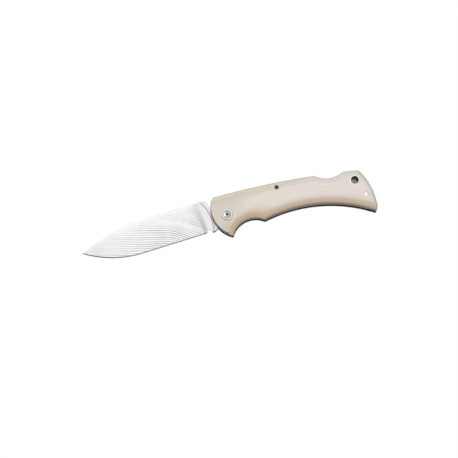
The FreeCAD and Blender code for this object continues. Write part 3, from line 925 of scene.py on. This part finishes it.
@dataclass(frozen=True)
class GroundSteel:
    """Steel ground along its length, with a few deeper scratches."""

    name: str
    base: Colour
    shade: Colour
    clean: float = 0.26
    worn: float = 0.36
    metallic: float = 1.0
    specular: float = 0.5
    fineness: float = 7.0
    line_share: float = 0.5
    cloud_scale: float = 0.12
    cloud_share: float = 0.2
    scratch_rough: float = 0.1
    relief: float = 4e-6

    def material(self, effects: Effects) -> Material:
        """Builds the material.

        Args:
            effects: The shared effects.

        Returns:
            The material.
        """
        constants = {"Metallic": self.metallic, "Specular_IOR_Level": self.specular}
        material, graph, shader = start_material(self.name, **constants)
        plain = graph.place()
        ground = use_group(graph, effects.ground_lines, Vector=plain, Fineness=self.fineness)
        tone = graph.blend(graph.times(ground["Lines"], self.line_share), self.base, self.shade)
        clouds = use_group(graph, effects.mottling, Vector=plain, Cloud_Scale=self.cloud_scale)
        tone = graph.blend(graph.times(clouds["Clouds"], self.cloud_share), tone, self.shade)
        smear = use_group(graph, effects.handling, Vector=plain, Clean=self.clean, Worn=self.worn)
        rough = graph.math("MULTIPLY_ADD", ground["Scratches"], self.scratch_rough, smear["Roughness"])
        height = graph.math("SUBTRACT", ground["Lines"], ground["Scratches"])
        connect(graph, shader, height, self.relief, Base_Color=tone, Roughness=rough)
        return material


@dataclass(frozen=True)
class TurnedMetal:
    """Metal turned on a lathe, with fine rings round its own axis and painted shade in its recesses."""

    name: str
    base: Colour
    shade: Colour
    centre: Point = (0.0, 0.0)
    clean: float = 0.12
    worn: float = 0.2
    pitch: float = 0.14
    streak_share: float = 0.5
    streak_rough: float = 0.06
    # Painted shade in the recesses and below the grip's faces.
    recess_shade: Colour = (0.05, 0.047, 0.042)
    recess_rough: float = 0.3
    recess_shade_levels: Span = (7.16, 6.9)
    recess_shade_share: float = 0.7
    core: Span | None = None
    relief: float = 1.5e-6

    def material(self, effects: Effects) -> Material:
        """Builds the material.

        Args:
            effects: The shared effects.

        Returns:
            The material.
        """
        material, graph, shader = start_material(self.name, Metallic=1.0)
        around = graph.place(centre=self.centre)
        rings = use_group(graph, effects.turned_rings, Vector=around, Pitch=self.pitch)
        tone = graph.blend(graph.times(rings["Streaks"], self.streak_share), self.base, self.shade)
        smear = use_group(graph, effects.handling, Vector=around, Clean=self.clean, Worn=self.worn)
        recess_shade_mask = self._recess_shade(graph, effects)
        tone = graph.blend(recess_shade_mask, tone, self.recess_shade)
        rough = graph.math("MULTIPLY_ADD", rings["Streaks"], self.streak_rough, smear["Roughness"])
        rough = graph.math("MULTIPLY_ADD", recess_shade_mask, self.recess_rough, rough)
        connect(graph, shader, rings["Rings"], self.relief, Base_Color=tone, Roughness=rough)
        return material

    def _recess_shade(self, graph: Graph, effects: Effects) -> Socket:
        """The painted shade below the surface, and within the core's radii where there is one.

        Args:
            graph: The material's graph.
            effects: The shared effects.

        Returns:
            The mask.
        """
        clean, full = self.recess_shade_levels
        plain = graph.place()
        settled = use_group(graph, effects.depth_shade, Vector=plain, Clean_Level=clean, Full_Level=full)
        recess_shade_mask = graph.times(settled["Depth Shade"], self.recess_shade_share)
        if self.core is None:
            return recess_shade_mask
        radius = graph.length(graph.place(LEVEL, centre=self.centre))
        return graph.math("MAXIMUM", recess_shade_mask, graph.fade(radius, *self.core, 0.0, self.recess_shade_share))


@dataclass(frozen=True)
class DarkReflectionSteel:
    """Near-black steel that wears to bare metal in small spots; its near-black is painted reflection,
    standing in for the dark that the rocker pin's steel head mirrors.
    """

    # Painted reflection: the dark that a steel pin's head mirrors.
    base: Colour = (0.065, 0.056, 0.046)
    bare: Colour = (0.30, 0.29, 0.28)
    centre: Point = (36.8, 8.05)
    pitch: float = 0.16
    spot_scale: float = 5.0
    spot_edge: Span = (0.8, 1.0)
    spot_share: float = 0.3
    clean: float = 0.36
    worn: float = 0.5
    relief: float = 1.5e-6

    def material(self, effects: Effects) -> Material:
        """Builds the material.

        Args:
            effects: The shared effects.

        Returns:
            The material.
        """
        material, graph, shader = start_material("blackened_steel", Metallic=0.6)
        around = graph.place(centre=self.centre)
        rings = use_group(graph, effects.turned_rings, Vector=around, Pitch=self.pitch)
        spots = use_group(graph, effects.mottling, Vector=around, Grain_Scale=self.spot_scale)
        bare = graph.times(graph.fade(spots["Grain"], *self.spot_edge), self.spot_share)
        tone = graph.blend(bare, self.base, self.bare)
        smear = use_group(graph, effects.handling, Vector=around, Clean=self.clean, Worn=self.worn)
        connect(graph, shader, rings["Rings"], self.relief, Base_Color=tone, Roughness=smear["Roughness"])
        return material


def dress(node: str, material: Material) -> None:
    """Gives a CAD node its finish.

    Args:
        node: The node's name.
        material: The finish.
    """
    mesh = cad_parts[node].data
    mesh.materials.clear()
    mesh.materials.append(material)
    LOG.info("%s wears %s", node, material.name)


def merged_copy(node: str) -> Mesh:
    """Copies a CAD node's mesh, with its loose triangles merged into flat faces.

    Args:
        node: The node's name.

    Returns:
        The merged copy.
    """
    bm = bmesh.new()
    bm.from_mesh(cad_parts[node].data)
    bmesh.ops.remove_doubles(bm, verts=bm.verts, dist=MERGE_REACH)
    bmesh.ops.dissolve_limit(bm, angle_limit=FLAT_ANGLE, verts=bm.verts, edges=bm.edges)
    return bm


def ease_edges(bm: Mesh, width: float, crease: float, low: float = 0.0) -> None:
    """Rounds the sharp edges of a closed mesh.

    Args:
        bm: The mesh.
        width: The width of the rounding, in millimetres.
        crease: The angle above which an edge counts as sharp, in radians.
        low: Edges nearer than this to the handle's middle plane stay sharp, in millimetres.
    """
    sharp = [
        e for e in bm.edges
        if e.is_manifold and e.calc_face_angle() > crease
        and min(abs(v.co.z / MM - MID_HEIGHT) for v in e.verts) >= low
    ]
    bmesh.ops.bevel(
        bm, geom=sharp, offset=width * MM, offset_type="OFFSET", segments=2, profile=0.5,
        affect="EDGES", clamp_overlap=True, material=-1,
    )


def spun(profile: Sequence[Point], centre: Point, steps: int = 72) -> Mesh:
    """Spins a profile round an upright axis.

    Args:
        profile: Radii and heights in millimetres, in order; one that starts off the axis is closed.
        centre: The place of the axis, in millimetres.
        steps: The number of faces round the axis.

    Returns:
        The closed mesh.
    """
    bm = bmesh.new()
    corners = [bm.verts.new(Vector((r, 0.0, z)) * MM) for r, z in profile]
    pairs = list(zip(corners, corners[1:]))
    if profile[0][0] > 0.0:
        pairs.append((corners[-1], corners[0]))
    edges = [bm.edges.new(pair) for pair in pairs]
    bmesh.ops.spin(
        bm, geom=corners + edges, cent=(0.0, 0.0, 0.0), axis=(0.0, 0.0, 1.0), angle=math.tau,
        steps=steps, use_merge=True,
    )
    bmesh.ops.remove_doubles(bm, verts=bm.verts, dist=MERGE_REACH)
    bmesh.ops.recalc_face_normals(bm, faces=bm.faces)
    bmesh.ops.translate(bm, verts=bm.verts, vec=Vector((*centre, 0.0)) * MM)
    return bm


def flipped(profile: Sequence[Point]) -> list[Point]:
    """Turns a profile of the front face into one of the rear face."""
    return [(radius, FACE_HEIGHT - height) for radius, height in profile]


def domed_pin(radius: float, dome: float, inset: float, rings: int = 6) -> list[Point]:
    """The profile of a pin with domed ends.

    Args:
        radius: The pin's radius, in millimetres.
        dome: The height of each dome.
        inset: How far the domes stay below the grip's faces.
        rings: The number of rings in each dome.

    Returns:
        The profile from the lower pole to the upper one.
    """
    top = FACE_HEIGHT - inset
    turns = [math.pi / 2 * step / rings for step in range(rings)]
    upper = [(radius * math.cos(turn), top - dome * (1.0 - math.sin(turn))) for turn in turns]
    upper.append((0.0, top))
    return [*flipped(upper)[::-1], *upper]


def finish_piece(bm: Mesh, name: str, body: Body, slot: Slot, material: Material, *nodes: str) -> None:
    """Makes a mesh into a finished piece that stands for CAD nodes.

    Args:
        bm: The mesh, which is freed.
        name: The piece's name.
        body: The body that it rides on.
        slot: The record's slot that its finish belongs to; not used.
        material: The finish.
        nodes: The CAD nodes that it stands for.
    """
    for face in bm.faces:
        face.smooth = True
    mesh = bpy.data.meshes.new(name)
    bm.to_mesh(mesh)
    bm.free()
    stale = mesh.attributes.get("custom_normal")
    if stale is not None:
        mesh.attributes.remove(stale)
    mesh.set_sharp_from_angle(angle=SHARP_ANGLE)
    mesh.materials.clear()
    mesh.materials.append(material)
    piece = bpy.data.objects.new(name, mesh)
    bpy.context.scene.collection.objects.link(piece)
    level = piece.modifiers.new("level_normals", "WEIGHTED_NORMAL")
    level.keep_sharp = True
    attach(piece, body.value)
    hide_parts(*nodes)
    LOG.info("%s stands for %s in %s", name, ", ".join(nodes), material.name)


@dataclass
class FoldingBlade:
    """The blade, with its back, ricasso and tang eased and its edge left keen."""

    ease: float = 0.2
    crease: float = math.radians(30.0)
    keen_half: float = 1.0
    steel: LayeredSteel = LayeredSteel()

    def build(self, effects: Effects) -> None:
        """Builds and dresses the blade.

        Args:
            effects: The shared effects.
        """
        bm = merged_copy("blade")
        ease_edges(bm, self.ease, self.crease, self.keen_half)
        finish_piece(bm, "folding_blade", Body.BLADE, Slot.BLADE, self.steel.material(effects), "blade")


@dataclass
class Grip:
    """The two ivory coloured scales and the black sheets under them, whose black is partly painted shade."""

    ivory: IvoryGrip = IvoryGrip()
    fibre: BlackFibre = BlackFibre()

    def build(self, effects: Effects) -> None:
        """Dresses the scales and their sheets.

        Args:
            effects: The shared effects.
        """
        ivory = self.ivory.material(effects)
        fibre = self.fibre.material(effects)
        for side in Side:
            dress(f"{side.value}_scale", ivory)
            dress(f"{side.value}_fibre_sheet", fibre)


@dataclass
class Chassis:
    """The liners and the back spacer, which form the channel that the blade folds into."""

    ease: float = 0.12
    crease: float = math.radians(40.0)
    # The liners' near-black is partly painted shade along the handle's lower side.
    liner: GroundSteel = GroundSteel(
        "blackened_liner", (0.016, 0.015, 0.014), (0.009, 0.009, 0.009),
        clean=0.5, worn=0.62, metallic=0.0, specular=0.08,
    )
    spacer: GroundSteel = GroundSteel("spacer_steel", (0.52, 0.52, 0.53), (0.38, 0.38, 0.39))

    def build(self, effects: Effects) -> None:
        """Builds and dresses the liners and the spacer.

        Args:
            effects: The shared effects.
        """
        blackened = self.liner.material(effects)
        for side in Side:
            node = f"{side.value}_liner"
            bm = merged_copy(node)
            ease_edges(bm, self.ease, self.crease)
            finish_piece(bm, f"{node}_plate", Body.HANDLE, Slot.LINER, blackened, node)
        bm = merged_copy("back_spacer")
        ease_edges(bm, self.ease, self.crease)
        finish_piece(bm, "butt_spacer", Body.HANDLE, Slot.LOCK, self.spacer.material(effects), "back_spacer")


@dataclass
class BackLock:
    """The rocking bar, its leaf spring and the pin that it rocks on."""

    ease: float = 0.15
    crease: float = math.radians(40.0)
    pin_place: Point = (36.8, 8.05)
    pin_radius: float = 1.45
    pin_dome: float = 0.25
    pin_inset: float = 0.06
    pin_steps: int = 48
    bar: GroundSteel = GroundSteel("lock_steel", (0.56, 0.56, 0.57), (0.42, 0.42, 0.43))
    spring: GroundSteel = GroundSteel("blued_spring", (0.20, 0.22, 0.28), (0.12, 0.13, 0.20))

    def build(self, effects: Effects) -> None:
        """Builds and dresses the lock.

        Args:
            effects: The shared effects.
        """
        bm = merged_copy("lock_bar")
        ease_edges(bm, self.ease, self.crease)
        finish_piece(bm, "rocking_bar", Body.LOCK_BAR, Slot.LOCK, self.bar.material(effects), "lock_bar")
        dress("lock_spring", self.spring.material(effects))
        profile = domed_pin(self.pin_radius, self.pin_dome, self.pin_inset)
        bm = spun(profile, self.pin_place, self.pin_steps)
        black = DarkReflectionSteel(centre=self.pin_place).material(effects)
        finish_piece(bm, "black_rocker_pin", Body.HANDLE, Slot.BLACKENED, black, "rocker_pin")


@dataclass
class Pivot:
    """The screw, barrel, collars and washers that the blade turns on."""

    place: Point = (0.0, 0.0)
    collar_radius: float = 3.8
    collar_chamfer: float = 0.3
    screw_well: float = 2.6
    screw_hole: float = 1.27
    screw_seat: float = 13.65
    # Painted shade in the screw's well and in its socket.
    screw_shade_levels: Span = (7.05, 6.65)
    screw_shade_share: float = 0.85
    screw_core: Span = (1.3, 0.85)
    barrel_hole: float = 2.12
    barrel_seat: float = 13.5
    scale_seat: float = 10.8
    groove: Span = (3.05, 3.3)
    groove_depth: float = 0.07
    washer_radius: float = 6.5
    ease: float = 0.07
    crease: float = math.radians(30.0)
    bright: Colour = (0.92, 0.92, 0.92)
    shade: Colour = (0.72, 0.72, 0.73)
    # The collars and washers take a little painted shade below the grip's faces.
    satin: TurnedMetal = TurnedMetal(
        "satin_collar", (0.84, 0.84, 0.82), (0.76, 0.76, 0.745), clean=0.26, worn=0.34, recess_shade_share=0.15
    )
    bronze: TurnedMetal = TurnedMetal(
        "washer_bronze", (0.62, 0.42, 0.22), (0.50, 0.32, 0.15), clean=0.28, worn=0.4, recess_shade_share=0.15
    )

    def build(self, effects: Effects) -> None:
        """Builds and dresses the pivot.

        Args:
            effects: The shared effects.
        """
        front = self._collar(self.screw_hole, self.screw_seat)
        rear = flipped(self._collar(self.barrel_hole, self.barrel_seat))
        satin = self.satin.material(effects)
        for side, profile in ((Side.FRONT, front), (Side.REAR, rear)):
            node = f"{side.value}_pivot_collar"
            self._ring(profile, f"{side.value}_collar", Slot.POLISHED, satin, node)
        screw = TurnedMetal(
            "screw_steel", self.bright, self.shade,
            recess_shade_levels=self.screw_shade_levels, recess_shade_share=self.screw_shade_share, core=self.screw_core,
        )
        dress("pivot_screw", screw.material(effects))
        dress("pivot_barrel", TurnedMetal("polished_barrel", self.bright, self.shade).material(effects))
        bronze = self.bronze.material(effects)
        for side in Side:
            node = f"{side.value}_washer"
            low, high = (corner.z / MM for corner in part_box(node))
            hole, rim = self.barrel_hole, self.washer_radius
            profile = [(hole, low), (rim, low), (rim, high), (hole, high)]
            self._ring(profile, f"{side.value}_bronze_washer", Slot.WASHER, bronze, node)

    def _ring(self, profile: Sequence[Point], name: str, slot: Slot, material: Material, node: str) -> None:
        """Builds and dresses a ring with eased edges.

        Args:
            profile: The ring's closed profile.
            name: The piece's name.
            slot: The record's slot that its finish belongs to.
            material: The finish.
            node: The CAD node that it stands for.
        """
        bm = spun(profile, self.place)
        ease_edges(bm, self.ease, self.crease)
        finish_piece(bm, name, Body.HANDLE, slot, material, node)

    def _collar(self, hole: float, seat: float) -> list[Point]:
        """The profile of a collar on the front face.

        Args:
            hole: The radius of its through hole.
            seat: The height of its well's floor.

        Returns:
            The closed profile.
        """
        inner, outer = self.groove
        floor = FACE_HEIGHT - self.groove_depth
        return [
            (hole, self.scale_seat),
            (self.collar_radius, self.scale_seat),
            (self.collar_radius, FACE_HEIGHT - self.collar_chamfer),
            (self.collar_radius - self.collar_chamfer, FACE_HEIGHT),
            (outer, FACE_HEIGHT),
            (outer, floor),
            (inner, floor),
            (inner, FACE_HEIGHT),
            (self.screw_well, FACE_HEIGHT),
            (self.screw_well, seat),
            (hole, seat),
        ]


@dataclass
class ButtFittings:
    """The lanyard tube and the pin at the butt."""

    tube_place: Point = (88.3, -2.0)
    tube_bore: float = 2.5
    tube_radius: float = 3.3
    tube_flare: float = 0.2
    # Painted shade inside the tube's bore.
    tube_shade_share: float = 0.9
    pin_place: Point = (93.1, -13.4)
    pin_radius: float = 1.55
    pin_dome: float = 0.1
    pin_steps: int = 48
    inset: float = 0.06
    ease: float = 0.1
    crease: float = math.radians(30.0)
    bright: Colour = (0.96, 0.96, 0.955)
    shade: Colour = (0.86, 0.86, 0.86)

    def build(self, effects: Effects) -> None:
        """Builds and dresses the fittings.

        Args:
            effects: The shared effects.
        """
        high = FACE_HEIGHT - self.inset
        half = [
            (self.tube_radius, high),
            (self.tube_bore + self.tube_flare, high),
            (self.tube_bore, high - self.tube_flare),
        ]
        bm = spun([*half, *flipped(half)[::-1]], self.tube_place)
        ease_edges(bm, self.ease, self.crease)
        tube = TurnedMetal(
            "polished_tube", self.bright, self.shade, self.tube_place, recess_shade_share=self.tube_shade_share
        ).material(effects)
        finish_piece(bm, "cord_tube", Body.HANDLE, Slot.POLISHED, tube, "lanyard_tube")
        profile = domed_pin(self.pin_radius, self.pin_dome, self.inset)
        bm = spun(profile, self.pin_place, self.pin_steps)
        pin = TurnedMetal(
            "satin_pin", self.bright, self.shade, self.pin_place, clean=0.3, worn=0.4, recess_shade_share=0.0
        ).material(effects)
        finish_piece(bm, "butt_pin", Body.HANDLE, Slot.POLISHED, pin, "rear_pin")


@dataclass(frozen=True)
class Softbox:
    """A flat rectangular lamp, with its place given in the photograph's own axes, in metres.

    One that isn't mirrored lights the knife but doesn't show in its steel.
    """

    name: str
    size: Point
    lift: float
    slide: float
    lean: float
    distance: float
    radiance: float
    mirrored: bool = True

    def hang(self, right: Vector, up: Vector) -> None:
        """Hangs the lamp so that it faces the knife.

        Args:
            right: The photograph's direction to the right.
            up: The photograph's direction to the top.
        """
        data = bpy.data.lights.new(self.name, "AREA")
        data.shape = "RECTANGLE"
        data.size, data.size_y = self.size
        data.energy = self.radiance * math.pi * self.size[0] * self.size[1]
        away = Vector((0.0, 0.0, 1.0)) * math.cos(self.lean) + up * math.sin(self.lean)
        basis = Matrix((right, away.cross(right), away)).transposed()
        lamp = bpy.data.objects.new(self.name, data)
        place = away * self.distance + up * self.lift + right * self.slide
        lamp.matrix_world = Matrix.Translation(place) @ basis.to_4x4()
        lamp.visible_camera = False
        lamp.visible_glossy = self.mirrored
        bpy.context.scene.collection.objects.link(lamp)


@dataclass
class Studio:
    """The floor, the lights and the camera, in metres, set square to the photograph's frame.

    Only target, the point that the camera looks at, is in the knife's millimetres.
    """

    view_width: float = 0.3053
    lens: float = 150.0
    sensor: float = 36.0
    clip: Span = (0.01, 50.0)
    camera_tilt: float = math.radians(8.0)
    target: Triple = (-1.4, -9.3, 10.0)
    floor_drop: float = 0.0002
    floor_radius: float = 5.0
    floor_sides: int = 96
    floor_bounce: float = 0.1
    hole_reach: float = 0.006
    hole_edge: Span = (0.1, 0.45)
    white: float = 1.03
    white_share: float = 0.97
    sky_high: Colour = (0.42, 0.425, 0.43)
    sky_low: Colour = (0.30, 0.285, 0.27)
    sky_way: Triple = (-0.4, 0.8, 0.45)
    sky_edge: Span = (-0.6, 1.0)
    overhead: Softbox = Softbox("overhead_box", (2.2, 0.8), 0.15, -0.8, 0.0, 1.0, 0.93)
    key: Softbox = Softbox("key_box", (1.6, 0.6), 0.0, -0.3, math.radians(50.0), 1.3, 4.55, mirrored=False)

    def __post_init__(self) -> None:
        """Works out the photograph's own axes in the knife's frame."""
        self.right = Vector((math.cos(PHOTO_TURN), -math.sin(PHOTO_TURN), 0.0))
        self.up = Vector((math.sin(PHOTO_TURN), math.cos(PHOTO_TURN), 0.0))

    def build(self) -> None:
        """Builds the whole studio."""
        bpy.context.scene.view_settings.view_transform = "Standard"
        self._floor()
        self._sky()
        self.overhead.hang(self.right, self.up)
        self.key.hang(self.right, self.up)
        self._camera()

    def _floor(self) -> None:
        """Builds the pale floor, which looks white but for faint shade and painted shade in the holes that
        it closes.
        """
        bm = bmesh.new()
        bmesh.ops.create_circle(bm, cap_ends=True, segments=self.floor_sides, radius=self.floor_radius)
        bmesh.ops.translate(bm, verts=bm.verts, vec=(0.0, 0.0, -self.floor_drop))
        mesh = bpy.data.meshes.new("floor")
        bm.to_mesh(mesh)
        bm.free()
        floor = bpy.data.objects.new("floor", mesh)
        bpy.context.scene.collection.objects.link(floor)
        mesh.materials.append(self._floor_finish())

    def _floor_finish(self) -> Material:
        """Builds the floor's finish.

        Returns:
            The material.
        """
        material, graph, shader = start_material("pale_floor", Roughness=0.9, Specular_IOR_Level=0.0)
        shader.inputs["Base Color"].default_value = (*[self.floor_bounce] * 3, 1.0)
        path = graph.add("LightPath").outputs
        seen = graph.math("MAXIMUM", path["Is Camera Ray"], path["Is Glossy Ray"])
        seen = graph.math("MAXIMUM", seen, path["Is Transmission Ray"])
        # Painted shade: the white is darkened where ambient occlusion finds the floor closed in, as in the
        # holes.
        nearby = graph.add("AmbientOcclusion", {"Distance": self.hole_reach}, samples=8).outputs["AO"]
        strength = graph.fade(nearby, *self.hole_edge, 0.0, self.white)
        white = graph.add("Emission", {"Strength": strength}).outputs[0]
        share = graph.times(seen, self.white_share)
        mixed = graph.add("MixShader", {0: share, 1: shader.outputs[0], 2: white}).outputs[0]
        output = next(n for n in graph.tree.nodes if n.bl_idname == "ShaderNodeOutputMaterial")
        graph.feed(output.inputs["Surface"], mixed)
        return material

    def _sky(self) -> None:
        """Builds the soft sky, brighter towards the top of the photograph."""
        world = bpy.data.worlds.new("soft_sky")
        bpy.context.scene.world = world
        world.use_nodes = True
        world.node_tree.nodes.clear()
        graph = Graph(world.node_tree)
        right, up, over = self.sky_way
        bright = (self.up * up + self.right * right + Vector((0.0, 0.0, over))).normalized()
        way = graph.add("TexCoord").outputs["Generated"]
        rise = graph.add("VectorMath", {0: way, 1: bright}, operation="DOT_PRODUCT").outputs["Value"]
        colour = graph.blend(graph.fade(rise, *self.sky_edge), self.sky_low, self.sky_high)
        sky = graph.add("Background", {"Color": colour, "Strength": 1.0})
        graph.add("OutputWorld", {"Surface": sky.outputs[0]})

    def _camera(self) -> None:
        """Hangs the camera over the knife, tilted a little towards the bottom of the photograph."""
        data = bpy.data.cameras.new("camera")
        data.lens = self.lens
        data.sensor_width = self.sensor
        data.clip_start, data.clip_end = self.clip
        reach = self.lens / self.sensor * self.view_width
        back = Vector((0.0, 0.0, 1.0)) * math.cos(self.camera_tilt) - self.up * math.sin(self.camera_tilt)
        basis = Matrix((self.right, back.cross(self.right), back)).transposed()
        camera = bpy.data.objects.new("camera", data)
        camera.matrix_world = Matrix.Translation(Vector(self.target) * MM + back * reach) @ basis.to_4x4()
        bpy.context.scene.collection.objects.link(camera)
        bpy.context.scene.camera = camera


def main() -> None:
    """Builds every sub-assembly and the studio, in order."""
    logging.basicConfig(level=logging.INFO, format="%(name)s: %(message)s")
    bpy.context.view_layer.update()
    effects = Effects()
    for assembly in (FoldingBlade(), Grip(), Chassis(), BackLock(), Pivot(), ButtFittings()):
        assembly.build(effects)
    Studio().build()


if __name__ == "__main__":
    main()
